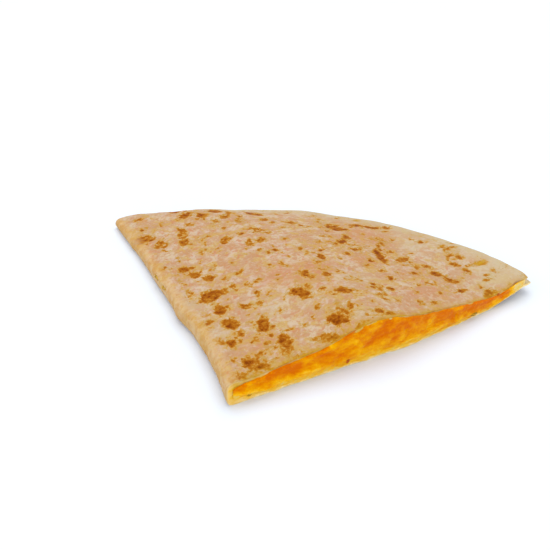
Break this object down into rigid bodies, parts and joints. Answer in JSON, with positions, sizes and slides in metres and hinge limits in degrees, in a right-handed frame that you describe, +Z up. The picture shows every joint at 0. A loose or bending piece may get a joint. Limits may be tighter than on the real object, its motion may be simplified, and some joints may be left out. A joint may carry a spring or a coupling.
{
  "type": "quesadilla wedge",
  "caption": "Cut wedge of a folded, toasted flour tortilla filled with melted cheese that shows along the cut side.",
  "frame": {"origin": "middle of the underside's box, on the surface that the wedge lies on", "axes": "+Z up; the folded side runs along +Y at low X, and the cut side with the cheese runs along +X at low Y, so the wedge's corner is at low X and low Y and the rim curves round the far side"},
  "size_m": [0.1238, 0.1268, 0.0152],
  "materials": {
    "tortilla": "matte",
    "cheese": "satin"
  },
  "bodies": {
    "root": {"tortilla": "tortilla", "filling": "cheese"}
  },
  "joints": []
}
